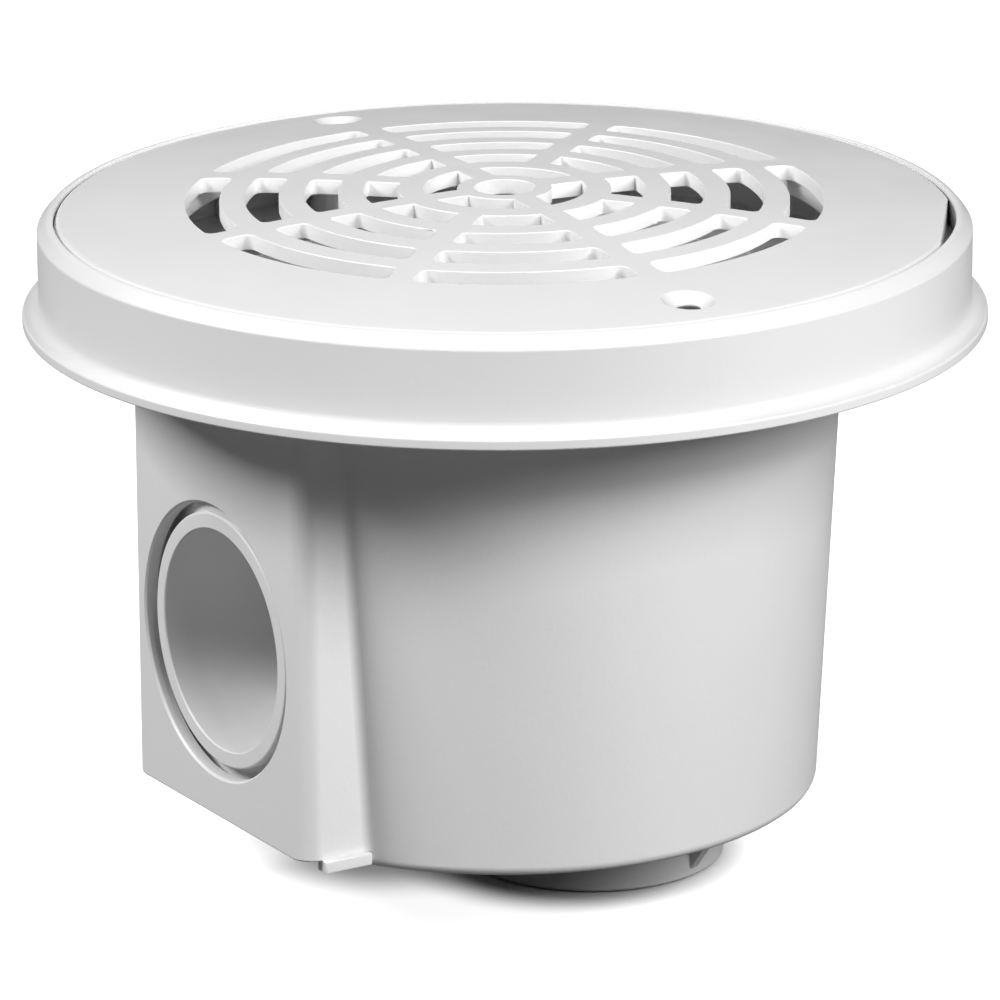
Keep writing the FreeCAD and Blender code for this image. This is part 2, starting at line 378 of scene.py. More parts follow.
for quarter in range(4):
    brace = turned_about_axis(copy_of(gusset), math.radians(GUSSET_TURN + 90 * quarter))
    place(brace, (0, 0, 0), (PORT_X, 0, 0))
    carve(sump, brace, "UNION")
bpy.data.objects.remove(gusset)

# The cup is hollow, and the pipe socket runs in through its wall to a stop for the pipe
FLOOR_TOP = FLOOR_Z + CUP_FLOOR
hollow = turned_solid(
    "hollow",
    rounded(
        [
            (0.055, FLOOR_TOP, 0),
            (FOOT_RADIUS + DRAFT * CUP_FLOOR - CUP_WALL, FLOOR_TOP, 0.003),
            (RIM_RADIUS - CUP_WALL + DRAFT * 0.001, RIM_Z + 0.001, 0),
        ],
        5,
    ),
    SUMP_STEPS,
)
carve(sump, hollow, "DIFFERENCE")
SOCKET_X = -0.0754
SOCKET_OUTSIDE = 0.0293
SOCKET_LENGTH = 0.031
SOCKET_MOUTH = 0.0255
PIPE_RADIUS = 0.0243
PIPE_DEPTH = 0.028
STOP_RADIUS = 0.0203
socket = turned_solid(
    "socket",
    rounded(
        [
            (0.026, 0, 0),
            (SOCKET_OUTSIDE, 0, 0.0006),
            (SOCKET_OUTSIDE, SOCKET_LENGTH, 0.0004),
            (0.022, SOCKET_LENGTH, 0),
        ]
    ),
    128,
)
place(socket, (0, math.radians(90), 0), (SOCKET_X, 0, SOCKET_Z))
carve(sump, socket, "UNION")
socket_bore = turned_solid(
    "socket bore",
    [(SOCKET_MOUTH + 0.0007, -0.004)]
    + rounded(
        [
            (SOCKET_MOUTH + 0.0007, -0.0004, 0),
            (SOCKET_MOUTH, 0.0003, 0.0003),
            (0.0248, 0.0100, 0.0200),
            (PIPE_RADIUS, PIPE_DEPTH, 0.0002),
            (STOP_RADIUS, PIPE_DEPTH, 0.0003),
            (STOP_RADIUS, SOCKET_LENGTH + 0.003, 0),
        ]
    ),
    128,
)
place(socket_bore, (0, math.radians(90), 0), (SOCKET_X, 0, SOCKET_Z))
carve(sump, socket_bore, "DIFFERENCE")
port_bore = turned_solid(
    "port bore",
    rounded(
        [
            (PORT_MOUTH + 0.001, -0.001, 0),
            (PORT_MOUTH, 0, 0.0004),
            (PORT_BORE, PORT_LEAD, 0.0005),
            (PORT_BORE, 0.031, 0),
        ],
        3,
    ),
    128,
)
place(port_bore, (0, 0, 0), (PORT_X, 0, 0))
carve(sump, port_bore, "DIFFERENCE")
port_thread = thread("port thread", PORT_BORE, ridge=0.0011, pitch=0.00222, turns=9, steps=72, low=0.0042)
place(port_thread, (0, 0, 0), (PORT_X, 0, 0))
carve(sump, port_thread, "UNION")
finish_surface(sump)


def node_group(name, inputs, outputs):
    # An effect that several plastics share, with named inputs and outputs
    group = bpy.data.node_groups.new(name, "ShaderNodeTree")
    for label, kind, value in inputs:
        socket = group.interface.new_socket(name=label, in_out="INPUT", socket_type=kind)
        if value is not None:
            socket.default_value = value
    for label, kind in outputs:
        group.interface.new_socket(name=label, in_out="OUTPUT", socket_type=kind)
    return group, group.nodes.new("NodeGroupInput"), group.nodes.new("NodeGroupOutput")


def feed(tree, socket, value):
    # Links another node's output to the socket, or sets a constant on it
    if isinstance(value, bpy.types.NodeSocket):
        tree.links.new(value, socket)
    else:
        socket.default_value = value


def noise(tree, vector, scale, detail, roughness=0.5):
    node = tree.nodes.new("ShaderNodeTexNoise")
    node.inputs["Detail"].default_value = detail
    node.inputs["Roughness"].default_value = roughness
    tree.links.new(vector, node.inputs["Vector"])
    feed(tree, node.inputs["Scale"], scale)
    return node.outputs["Fac"]


def spread(tree, value, low, high, to_low=0.0, to_high=1.0):
    node = tree.nodes.new("ShaderNodeMapRange")
    node.inputs["From Min"].default_value = low
    node.inputs["From Max"].default_value = high
    node.inputs["To Min"].default_value = to_low
    node.inputs["To Max"].default_value = to_high
    tree.links.new(value, node.inputs["Value"])
    return node.outputs["Result"]


def calc(tree, operation, *values):
    node = tree.nodes.new("ShaderNodeMath")
    node.operation = operation
    for socket, value in zip(node.inputs, values):
        feed(tree, socket, value)
    return node.outputs["Value"]


def stretched(tree, vector, scale):
    node = tree.nodes.new("ShaderNodeMapping")
    node.inputs["Scale"].default_value = scale
    tree.links.new(vector, node.inputs["Vector"])
    return node.outputs["Vector"]


def mixed(tree, amount, first, second):
    # Goes from the first colour to the second by the amount
    node = tree.nodes.new("ShaderNodeMix")
    node.data_type = "RGBA"
    tree.links.new(amount, node.inputs["Factor"])
    feed(tree, node.inputs["A"], first)
    feed(tree, node.inputs["B"], second)
    return node.outputs["Result"]


# Moulding skin: slow clouding of the resin's shade, uneven gloss and a fine orange peel
skin_group, skin_in, skin_out = node_group(
    "Moulding skin",
    [
        ("Vector", "NodeSocketVector", None),
        ("Cloud Size", "NodeSocketFloat", 18.0),
        ("Peel Size", "NodeSocketFloat", 900.0),
        ("Peel Depth", "NodeSocketFloat", 0.1),
    ],
    [("Clouding", "NodeSocketFloat"), ("Gloss Patches", "NodeSocketFloat"), ("Height", "NodeSocketFloat")],
)
skin_place = skin_in.outputs["Vector"]
clouds = noise(skin_group, skin_place, skin_in.outputs["Cloud Size"], 3.0)
patch_size = calc(skin_group, "MULTIPLY", skin_in.outputs["Cloud Size"], 4.3)
patches = noise(skin_group, skin_place, patch_size, 4.0, 0.6)
peel = noise(skin_group, skin_place, skin_in.outputs["Peel Size"], 2.0)
fine_size = calc(skin_group, "MULTIPLY", skin_in.outputs["Peel Size"], 4.0)
fine_peel = noise(skin_group, skin_place, fine_size, 1.0)
both_peels = calc(skin_group, "ADD", peel, calc(skin_group, "MULTIPLY", fine_peel, 0.35))
peel_height = calc(skin_group, "MULTIPLY", both_peels, skin_in.outputs["Peel Depth"])
skin_group.links.new(spread(skin_group, clouds, 0.33, 0.67), skin_out.inputs["Clouding"])
skin_group.links.new(spread(skin_group, patches, 0.3, 0.7), skin_out.inputs["Gloss Patches"])
skin_group.links.new(peel_height, skin_out.inputs["Height"])

# Handling marks: sparse hairline scuffs from packing and stacking, in two directions
scuff_group, scuff_in, scuff_out = node_group(
    "Handling marks",
    [
        ("Vector", "NodeSocketVector", None),
        ("Size", "NodeSocketFloat", 60.0),
        ("Amount", "NodeSocketFloat", 0.5),
    ],
    [("Scuffs", "NodeSocketFloat")],
)
scuff_place = scuff_in.outputs["Vector"]
hairs = []
for lean in ((7.0, 0.6, 1.5), (0.7, 6.0, 1.1)):
    along = stretched(scuff_group, scuff_place, lean)
    streaks = noise(scuff_group, along, scuff_in.outputs["Size"], 2.0, 0.7)
    hairs.append(spread(scuff_group, streaks, 0.66, 0.74))
where = spread(scuff_group, noise(scuff_group, scuff_place, 14.0, 2.0), 0.5, 0.62)
sparse_hairs = calc(scuff_group, "MULTIPLY", calc(scuff_group, "MAXIMUM", *hairs), where)
scuffs_out = calc(scuff_group, "MULTIPLY", sparse_hairs, scuff_in.outputs["Amount"])
scuff_group.links.new(scuffs_out, scuff_out.inputs["Scuffs"])


def moulded_plastic(name, bright, deep, satin, cloud_size, peel_size, peel_depth, scuffs, coat):
    # Opaque pool-fitting resin: two near shades, a satin skin and light scuffs
    material = bpy.data.materials.new(name)
    material.use_nodes = True
    tree = material.node_tree
    surface = tree.nodes["Principled BSDF"]
    surface.inputs["IOR"].default_value = 1.53
    surface.inputs["Coat Weight"].default_value = coat
    surface.inputs["Coat Roughness"].default_value = 0.22
    spot = tree.nodes.new("ShaderNodeTexCoord").outputs["Object"]
    skin = tree.nodes.new("ShaderNodeGroup")
    skin.node_tree = skin_group
    skin.inputs["Cloud Size"].default_value = cloud_size
    skin.inputs["Peel Size"].default_value = peel_size
    skin.inputs["Peel Depth"].default_value = peel_depth
    tree.links.new(spot, skin.inputs["Vector"])
    marks = tree.nodes.new("ShaderNodeGroup")
    marks.node_tree = scuff_group
    marks.inputs["Amount"].default_value = scuffs
    tree.links.new(spot, marks.inputs["Vector"])
    shade = mixed(tree, skin.outputs["Clouding"], (*bright, 1), (*deep, 1))
    scuffed = (*(channel * 0.86 for channel in deep), 1)
    colour = mixed(tree, marks.outputs["Scuffs"], shade, scuffed)
    tree.links.new(colour, surface.inputs["Base Color"])
    gloss = spread(tree, skin.outputs["Gloss Patches"], 0, 1, satin - 0.04, satin + 0.05)
    worn = calc(tree, "MULTIPLY", marks.outputs["Scuffs"], 0.25)
    tree.links.new(calc(tree, "ADD", gloss, worn), surface.inputs["Roughness"])
    bump = tree.nodes.new("ShaderNodeBump")
    bump.inputs["Strength"].default_value = 0.25
    bump.inputs["Distance"].default_value = 0.0002
    tree.links.new(skin.outputs["Height"], bump.inputs["Height"])
    tree.links.new(bump.outputs["Normal"], surface.inputs["Normal"])
    return material


SUMP_BRIGHT = (0.742, 0.742, 0.744)
SUMP_DEEP = (0.722, 0.723, 0.725)
sump_plastic = moulded_plastic(
    "sump plastic",
    SUMP_BRIGHT,
    SUMP_DEEP,
    satin=0.46,
    cloud_size=16,
    peel_size=700,
    peel_depth=0.6,
    scuffs=0.12,
    coat=0.0,
)
sump.data.materials.append(sump_plastic)
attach(sump, "root")
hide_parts("sump_body")

# Collar: one white, glossier moulding that is set in the pool's floor. Its spigot drops into
# the sump, its flange carries it, and an inner ledge on ribs holds the grate level with its top.
COLLAR_STEPS = 256
GRATE_RADIUS = 0.1016
BORE_RADIUS = 0.1025
LIP_RADIUS = 0.1018
COLLAR_RADIUS = 0.1055
FLANGE_RADIUS = 0.1092
FLANGE_TOP = 0.13575
CREST_Z = 0.1571
BEVEL_WIDTH = 0.0024
BEVEL_DROP = 0.0028
LEDGE_Z = 0.1501
LEDGE_RADIUS = 0.0979
LEDGE_LOW = 0.1476
SPIGOT_LOW = 0.1212
SPIGOT_RADIUS = 0.07278
OPENING_RADIUS = 0.07018
START_Z = 0.128
collar = lathe(
    "collar_ring",
    rounded(
        [
            (OPENING_RADIUS, START_Z, 0),
            (OPENING_RADIUS, SPIGOT_LOW, 0.0004),
            (SPIGOT_RADIUS, SPIGOT_LOW, 0.0006),
            (SPIGOT_RADIUS, RIM_Z, 0),
            (FLANGE_RADIUS, RIM_Z, 0.0005),
            (FLANGE_RADIUS, FLANGE_TOP, 0.0006),
            (COLLAR_RADIUS, FLANGE_TOP, 0.0029),
            (COLLAR_RADIUS, CREST_Z - BEVEL_DROP, 0.0010),
            (COLLAR_RADIUS - BEVEL_WIDTH, CREST_Z, 0.0022),
            (LIP_RADIUS, CREST_Z, 0.0003),
            (LIP_RADIUS, LEDGE_Z, 0),
            (LEDGE_RADIUS, LEDGE_Z, 0.0004),
            (LEDGE_RADIUS, LEDGE_LOW, 0.0004),
            (BORE_RADIUS, LEDGE_LOW, 0),
            (BORE_RADIUS, FLANGE_TOP, 0.0010),
            (OPENING_RADIUS, FLANGE_TOP, 0.0005),
            (OPENING_RADIUS, START_Z, 0),
        ],
        6,
    ),
    COLLAR_STEPS,
    joined=True,
)

COVER_ANGLE = math.radians(-5.3)
SCREW_SIDE = COVER_ANGLE - math.radians(90)
SCREW_CIRCLE = 0.0889
RIB_COUNT = 12
RIB_FIRST = 15
RIB_HALF = 0.0012
rib = block(
    "rib",
    (LEDGE_RADIUS + 0.0003, -RIB_HALF, FLANGE_TOP - 0.0005),
    (BORE_RADIUS + 0.001, RIB_HALF, LEDGE_LOW + 0.0005),
)
soften(rib, lambda edge: all(v.co.x < LEDGE_RADIUS + 0.0011 for v in edge.verts), size=0.0004, segments=2)
ribs = []
for number in range(RIB_COUNT):
    turn = SCREW_SIDE + math.radians(RIB_FIRST + 360 / RIB_COUNT * number)
    ribs.append(turned_about_axis(copy_of(rib), turn))
bpy.data.objects.remove(rib)


def gather(parts):
    # Copies that don't touch each other become one tool
    bpy.ops.object.select_all(action="DESELECT")
    for part in parts:
        part.select_set(True)
    bpy.context.view_layer.objects.active = parts[0]
    bpy.ops.object.join()
    return parts[0]


carve(collar, gather(ribs), "UNION")


def at_screws(master):
    # One copy on each side, on the line through the two grate screws
    pair = []
    for turn in (0, math.pi):
        angle = SCREW_SIDE + turn
        spot = (SCREW_CIRCLE * math.cos(angle), SCREW_CIRCLE * math.sin(angle), 0)
        pair.append(place(copy_of(master), (0, 0, angle), spot))
    bpy.data.objects.remove(master)
    return pair


# Two tapered bosses carry the grate's posts, with a seat and a pilot hole for the brass inserts
BOSS_TOP = 0.1509
BOSS_RADIUS = 0.0062
BOSS_FOOT = FLANGE_TOP - 0.001
SEAT_Z = 0.1419
SEAT_RADIUS = 0.0038
PILOT_RADIUS = 0.0025
PILOT_DEPTH = 0.003
boss = turned_solid(
    "boss",
    rounded(
        [
            (0.0030, BOSS_FOOT, 0),
            (BOSS_RADIUS + 0.0002, BOSS_FOOT, 0),
            (BOSS_RADIUS, BOSS_TOP, 0.0003),
            (0.0045, BOSS_TOP, 0),
        ]
    ),
    48,
)
carve(collar, gather(at_screws(boss)), "UNION")
seat = turned_solid(
    "seat",
    [
        (PILOT_RADIUS, SEAT_Z - PILOT_DEPTH),
        (PILOT_RADIUS, SEAT_Z),
        (SEAT_RADIUS, SEAT_Z),
        (SEAT_RADIUS, BOSS_TOP - 0.0002),
        (SEAT_RADIUS + 0.0005, BOSS_TOP + 0.0003),
    ],
    48,
)
carve(collar, gather(at_screws(seat)), "DIFFERENCE")
finish_surface(collar)
COLLAR_BRIGHT = (0.762, 0.762, 0.763)
COLLAR_DEEP = (0.742, 0.743, 0.745)
collar_plastic = moulded_plastic(
    "collar plastic",
    COLLAR_BRIGHT,
    COLLAR_DEEP,
    satin=0.36,
    cloud_size=12,
    peel_size=850,
    peel_depth=0.4,
    scuffs=0.1,
    coat=0.1,
)
collar.data.materials.append(collar_plastic)
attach(collar, "root")
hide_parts("collar_ring")

# Screw inserts: two turned brass sleeves with knurled bands and a tapped bore, pressed into the
# collar's bosses. The grate's screws run into them.
INSERT_RADIUS = 0.0036
INSERT_BORE = 0.0020
INSERT_TOP = SEAT_Z + 0.009
INSERT_START = SEAT_Z + 0.004
INSERT_EDGE = 0.0002
INSERT_LEAD = 0.0003
NECK_RADIUS = 0.0031
NECK_LOW = SEAT_Z + 0.0037
NECK_HIGH = SEAT_Z + 0.0053
insert = lathe(
    "screw_inserts",
    rounded(
        [
            (INSERT_BORE, INSERT_START, 0),
            (INSERT_BORE, SEAT_Z, 0.0002),
            (INSERT_RADIUS - INSERT_EDGE, SEAT_Z, 0),
            (INSERT_RADIUS, SEAT_Z + INSERT_EDGE, 0),
            (INSERT_RADIUS, NECK_LOW, 0),
            (NECK_RADIUS, NECK_LOW, 0.0001),
            (NECK_RADIUS, NECK_HIGH, 0.0001),
            (INSERT_RADIUS, NECK_HIGH, 0),
            (INSERT_RADIUS, INSERT_TOP - INSERT_EDGE, 0),
            (INSERT_RADIUS - INSERT_EDGE, INSERT_TOP, 0),
            (INSERT_BORE + INSERT_LEAD, INSERT_TOP, 0),
            (INSERT_BORE, INSERT_TOP - INSERT_LEAD, 0),
            (INSERT_BORE, INSERT_START, 0),
        ],
        2,
    ),
    72,
    joined=True,
)


def is_knurl_line(v):
    # Every third line of the two bands, 15 degrees apart
    line = round(math.degrees(math.atan2(v.co.y, v.co.x)) / 5)
    return v.co.xy.length > INSERT_RADIUS - 0.00001 and line % 3 == 0


KNURL_DEPTH = 0.945
edit(insert)
pick(insert, "VERT", is_knurl_line)
bpy.ops.transform.resize(value=(KNURL_DEPTH, KNURL_DEPTH, 1), center_override=(0, 0, 0))
done()
insert_thread = thread(
    "insert thread", INSERT_BORE, ridge=0.00035, pitch=0.0008, turns=9, steps=24, low=SEAT_Z + 0.0008
)
carve(insert, insert_thread, "UNION")
inserts = gather(at_screws(insert))
inserts.name = "screw_inserts"
inserts.data.name = "screw_inserts"
finish_surface(inserts, 40.0)
BRASS_BRIGHT = (0.80, 0.58, 0.27, 1)
BRASS_TARNISHED = (0.55, 0.36, 0.15, 1)


def turned_brass():
    # Free-cutting brass straight from the lathe: fine turning rings and a little tarnish
    material = bpy.data.materials.new("turned brass")
    material.use_nodes = True
    tree = material.node_tree
    surface = tree.nodes["Principled BSDF"]
    surface.inputs["Metallic"].default_value = 1.0
    spot = tree.nodes.new("ShaderNodeTexCoord").outputs["Object"]
    tarnish = spread(tree, noise(tree, spot, 260.0, 4.0, 0.6), 0.4, 0.7)
    tree.links.new(mixed(tree, tarnish, BRASS_BRIGHT, BRASS_TARNISHED), surface.inputs["Base Color"])
    tree.links.new(spread(tree, tarnish, 0, 1, 0.26, 0.46), surface.inputs["Roughness"])
    rings = tree.nodes.new("ShaderNodeTexWave")
    rings.bands_direction = "Z"
    rings.inputs["Scale"].default_value = 2600.0
    rings.inputs["Distortion"].default_value = 0.4
    tree.links.new(spot, rings.inputs["Vector"])
    bump = tree.nodes.new("ShaderNodeBump")
    bump.inputs["Strength"].default_value = 0.2
    bump.inputs["Distance"].default_value = 0.00005
    tree.links.new(rings.outputs["Fac"], bump.inputs["Height"])
    tree.links.new(bump.outputs["Normal"], surface.inputs["Normal"])
    return material


inserts.data.materials.append(turned_brass())
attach(inserts, "root")
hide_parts("screw_inserts")

# Grate: one white domed moulding. Five rows of slots lie between eight spokes, a stiffening ring
# and a skirt run under the plate, and a flat on the rim leaves room to pry it out.
PLATE_TOP = 0.1568
PLATE_LOW = 0.1533
DOME_LIFT = 0.005775
SHOULDER = 0.0018
SKIRT_RADIUS = 0.0990
STIFFENER_OUT = 0.0758
STIFFENER_IN = 0.0736
STIFFENER_LOW = 0.1516
# Rings that the plate's solid rim is divided into, so that it bends evenly into its dome
RIM_RINGS = (0.0790, 0.0840, 0.0890)


def under_dome(radius, height):
    # The height in the flat plate that the doming brings to the height given
    return height - DOME_LIFT * (1 - (radius / GRATE_RADIUS) ** 2)


top_profile = [(0.0740, PLATE_TOP)]
top_profile += [(radius, PLATE_TOP) for radius in RIM_RINGS]
top_profile += [(0.0930, PLATE_TOP)]
top_profile += rounded(
    [(0.0965, PLATE_TOP, 0), (GRATE_RADIUS, PLATE_TOP, SHOULDER), (GRATE_RADIUS, 0.1512, 0)], 7
)
skirt_profile = rounded(
    [
        (GRATE_RADIUS, 0.1508, 0),
        (GRATE_RADIUS, LEDGE_Z, 0.0003),
        (SKIRT_RADIUS, under_dome(SKIRT_RADIUS, LEDGE_Z), 0.0003),
        (SKIRT_RADIUS, PLATE_LOW, 0.0008),
        (0.0940, PLATE_LOW, 0),
    ],
    3,
)
under_profile = [(radius, PLATE_LOW) for radius in reversed(RIM_RINGS)]
under_profile += rounded(
    [
        (0.0778, PLATE_LOW, 0),
        (STIFFENER_OUT, PLATE_LOW, 0.0005),
        (STIFFENER_OUT, under_dome(STIFFENER_OUT, STIFFENER_LOW), 0.0003),
        (STIFFENER_IN, under_dome(STIFFENER_IN, STIFFENER_LOW), 0.0003),
        (STIFFENER_IN, PLATE_LOW, 0.0004),
        (0.0728, PLATE_LOW, 0),
    ],
    3,
)
grate = turned_solid("grate", top_profile + skirt_profile + under_profile, COLLAR_STEPS)

SPOKE_HALF = 0.0028
SLOT_CORNER = 0.0020
FIELD_RADIUS = 0.0720
SLOT_WIDTH = 0.0077
SLOT_PITCH = 0.0134
CUT_LOW = 0.150
CUT_HIGH = 0.164


def slot_cutter(inner, outer, sectors, steps):
    # An arc whose ends run parallel to the spokes, with rounded corners
    corners = [(inner, CUT_LOW), (outer, CUT_LOW), (outer, CUT_HIGH), (inner, CUT_HIGH), (inner, CUT_LOW)]
    cutter = lathe("slot", corners, steps, joined=True)
    half = math.pi / sectors
    for side in (-1, 1):
        normal = Vector((-math.sin(half), side * math.cos(half), 0))
        edit(cutter)
        bpy.ops.mesh.select_all(action="SELECT")
        bpy.ops.mesh.bisect(plane_co=-normal * SPOKE_HALF, plane_no=normal, use_fill=True, clear_outer=True)
        done()

    def is_near_end(v, reach):
        # Whether a point is within reach of one of the slot's end walls
        return SPOKE_HALF + reach + v.co.x * -math.sin(half) + abs(v.co.y) * math.cos(half) > 0

    def crowds_corner(edge):
        near = all(is_near_end(v, SLOT_CORNER * 1.15) and not is_near_end(v, 0.00005) for v in edge.verts)
        return near and is_upright(edge, 0.01)

    def is_slot_corner(edge):
        return is_upright(edge, 0.01) and all(is_near_end(v, 0.00005) for v in edge.verts)

    # Arc lines too near a corner would crowd its rounding, so they go first
    edit(cutter)
    pick(cutter, "EDGE", crowds_corner)
    bpy.ops.mesh.dissolve_edges(use_verts=True)
    done()
    soften(cutter, is_slot_corner, size=SLOT_CORNER, segments=5)
    return cutter


# The inmost row has room for four slots only
cutters = []
for row, steps in enumerate((160, 144, 112, 96, 64)):
    outer = FIELD_RADIUS - row * SLOT_PITCH
    sectors = 4 if row == 4 else 8
    master = slot_cutter(outer - SLOT_WIDTH, outer, sectors, steps)
    for number in range(sectors):
        turn = SCREW_SIDE + 2 * math.pi * (number + 0.5) / sectors
        cutters.append(turned_about_axis(copy_of(master), turn))
    bpy.data.objects.remove(master)
CENTRE_HOLE = 0.0069
cutters.append(turned_solid("centre hole", [(CENTRE_HOLE, CUT_LOW), (CENTRE_HOLE, CUT_HIGH)], 48))
SINK_RADIUS = 0.0058
SINK_DEPTH = 0.0019
countersink = turned_solid(
    "countersink",
    [(0.0029, PLATE_TOP - SINK_DEPTH), (SINK_RADIUS, PLATE_TOP), (SINK_RADIUS + 0.0015, PLATE_TOP + 0.001)],
    64,
)
cutters += at_screws(countersink)
carve(grate, gather(cutters), "DIFFERENCE")


def is_rim(edge, upward):
    # An edge where an opening's wall meets the plate's top or underside
    if len(edge.link_faces) != 2 or max(v.co.xy.length for v in edge.verts) > 0.0965:
        return False
    level = PLATE_TOP if upward > 0 else PLATE_LOW
    if any(abs(v.co.z - level) > 0.00001 for v in edge.verts):
        return False
    tilts = sorted(face.normal.z * upward for face in edge.link_faces)
    return tilts[1] > 0.99 and tilts[0] < 0.9


def is_screw_rim(edge):
    return is_rim(edge, 1) and min(v.co.xy.length for v in edge.verts) > 0.078


def is_slot_rim(edge):
    return is_rim(edge, 1) and max(v.co.xy.length for v in edge.verts) < 0.0735


def is_under_rim(edge):
    return is_rim(edge, -1) and max(v.co.xy.length for v in edge.verts) < 0.0725


soften(grate, is_screw_rim, size=0.0003, segments=2)
soften(grate, is_slot_rim, size=0.0016, segments=5)
soften(grate, is_under_rim, size=0.0004, segments=2)

# The pry flat is cut square across the rim
PRY_ANGLE = SCREW_SIDE + math.radians(58)
PRY_DISTANCE = 0.0990
pry = block("pry flat", (PRY_DISTANCE, -0.04, 0.145), (0.11, 0.04, 0.165))
carve(grate, turned_about_axis(pry, PRY_ANGLE), "DIFFERENCE")

# The flat plate is pushed up into its dome
edit(grate)
bpy.ops.mesh.select_all(action="SELECT")
bpy.ops.mesh.quads_convert_to_tris(quad_method="BEAUTY", ngon_method="BEAUTY")
done()
bpy.ops.object.select_all(action="DESELECT")
bpy.ops.object.empty_add(location=(0, 0, PLATE_TOP))
dome_foot = bpy.context.object
bpy.ops.object.empty_add(location=(0, 0, PLATE_TOP + DOME_LIFT))
dome_top = bpy.context.object
bpy.context.view_layer.update()
only(grate)
doming = grate.modifiers.new("Doming", "WARP")
doming.object_from = dome_foot
doming.object_to = dome_top
doming.falloff_type = "INVERSE_SQUARE"
doming.falloff_radius = GRATE_RADIUS
bpy.ops.object.modifier_apply(modifier=doming.name)
bpy.data.objects.remove(dome_foot)
bpy.data.objects.remove(dome_top)

# Posts under the plate stand on the collar's bosses, and the screws pass through them
POST_TOP = 0.1560
HOLE_RADIUS = 0.00275
HOLE_TOP = 0.1572
post = turned_solid(
    "post",
    rounded([(0.004, BOSS_TOP, 0), (BOSS_RADIUS, BOSS_TOP, 0.0003), (BOSS_RADIUS, POST_TOP, 0)], 2),
    64,
)
for stud in at_screws(post):
    carve(grate, stud, "UNION")
drill = turned_solid("drill", [(HOLE_RADIUS, 0.149), (HOLE_RADIUS, HOLE_TOP)], 64)
carve(grate, gather(at_screws(drill)), "DIFFERENCE")
finish_surface(grate, 36.0)
GRATE_BRIGHT = (0.730, 0.730, 0.731)
GRATE_DEEP = (0.710, 0.711, 0.713)
# Painted light: the whiter tone for the steep slot walls
SLOT_PAINTED_LIGHT = (0.850, 0.850, 0.851, 1)
# Painted shade: the dark tone for the screw holes' walls below their countersinks
HOLE_PAINTED_SHADE = (0.10, 0.10, 0.10, 1)
grate_plastic = moulded_plastic(
    "grate plastic",
    GRATE_BRIGHT,
    GRATE_DEEP,
    satin=0.38,
    cloud_size=14,
    peel_size=900,
    peel_depth=0.4,
    scuffs=0.12,
    coat=0.1,
)


def paint_slot_light_and_hole_shade(material):
    # Painted light and shade: steep walls inside the rim are painted whiter, as if brightly lit,
    # and the two screw holes get painted shade, a dark wall below their countersinks
    tree = material.node_tree
    colour_in = tree.nodes["Principled BSDF"].inputs["Base Color"]
    spot = tree.nodes.new("ShaderNodeTexCoord").outputs["Object"]
    facing = tree.nodes.new("ShaderNodeSeparateXYZ")
    tree.links.new(tree.nodes.new("ShaderNodeNewGeometry").outputs["Normal"], facing.inputs["Vector"])
    steep = spread(tree, calc(tree, "ABSOLUTE", facing.outputs["Z"]), 0.35, 0.9, 1, 0)
    off_axis = tree.nodes.new("ShaderNodeVectorMath")
    off_axis.operation = "LENGTH"
    tree.links.new(stretched(tree, spot, (1, 1, 0)), off_axis.inputs[0])
    inside = spread(tree, off_axis.outputs["Value"], 0.0955, 0.0965, 1, 0)
    height = tree.nodes.new("ShaderNodeSeparateXYZ")
    tree.links.new(spot, height.inputs["Vector"])
    below = spread(tree, height.outputs["Z"], 0.1559, 0.1563, 1, 0)
    by_screws = calc(tree, "COMPARE", off_axis.outputs["Value"], SCREW_CIRCLE, 0.0029)
    # Painted shade mask: steep walls below the countersinks near the screw circle
    hole_painted_shade = calc(tree, "MULTIPLY", calc(tree, "MULTIPLY", below, by_screws), steep)
    worn = colour_in.links[0].from_socket
    # Painted light: steep walls inside the rim are mixed towards white
    slot_painted_light = mixed(tree, calc(tree, "MULTIPLY", steep, inside), worn, SLOT_PAINTED_LIGHT)
    # Painted shade: the screw holes' walls are mixed towards dark
    tree.links.new(mixed(tree, hole_painted_shade, slot_painted_light, HOLE_PAINTED_SHADE), colour_in)


# Adds the painted light on the slot walls and the painted shade in the screw holes
paint_slot_light_and_hole_shade(grate_plastic)
grate.data.materials.append(grate_plastic)
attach(grate, "root")
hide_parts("grate")

# Studio: a plain white table and white surround. The table is over-lit by its own glow, so it shows white to
# the camera but for the soft patches of painted shadow under the cup, where the glow is taken away and its
# lit and shaded tone shows, and it throws little light back up.
TABLE_SIZE = 9
TABLE_Z = -0.0002
TABLE_GLOW = 0.92
TABLE_SEEN = 0.81
TABLE_BOUNCE = 0.12
bpy.ops.object.select_all(action="DESELECT")
bpy.ops.mesh.primitive_plane_add(size=TABLE_SIZE, location=(0, 0, TABLE_Z))
table = bpy.context.object
table.name = "table"
settle(table)
edit(table)
bpy.ops.mesh.select_all(action="SELECT")
bpy.ops.mesh.subdivide(number_cuts=3)
done()
table_paper = bpy.data.materials.new("table paper")
table_paper.use_nodes = True
paper_tree = table_paper.node_tree
paper = paper_tree.nodes["Principled BSDF"]
paper.inputs["Roughness"].default_value = 0.9
paper.inputs["Specular IOR Level"].default_value = 0.1
paper.inputs["Emission Color"].default_value = (1, 1, 1, 1)
paper_place = paper_tree.nodes.new("ShaderNodeTexCoord").outputs["Object"]
seen = paper_tree.nodes.new("ShaderNodeLightPath").outputs["Is Camera Ray"]
grain = spread(paper_tree, noise(paper_tree, paper_place, 3.0, 2.0), 0.3, 0.7, 0.98, 1.0)
paper_shade = calc(paper_tree, "MULTIPLY", grain, spread(paper_tree, seen, 0, 1, TABLE_BOUNCE, TABLE_SEEN))
paper_colour = paper_tree.nodes.new("ShaderNodeCombineColor")
for channel in ("Red", "Green", "Blue"):
    paper_tree.links.new(paper_shade, paper_colour.inputs[channel])
paper_tree.links.new(paper_colour.outputs["Color"], paper.inputs["Base Color"])


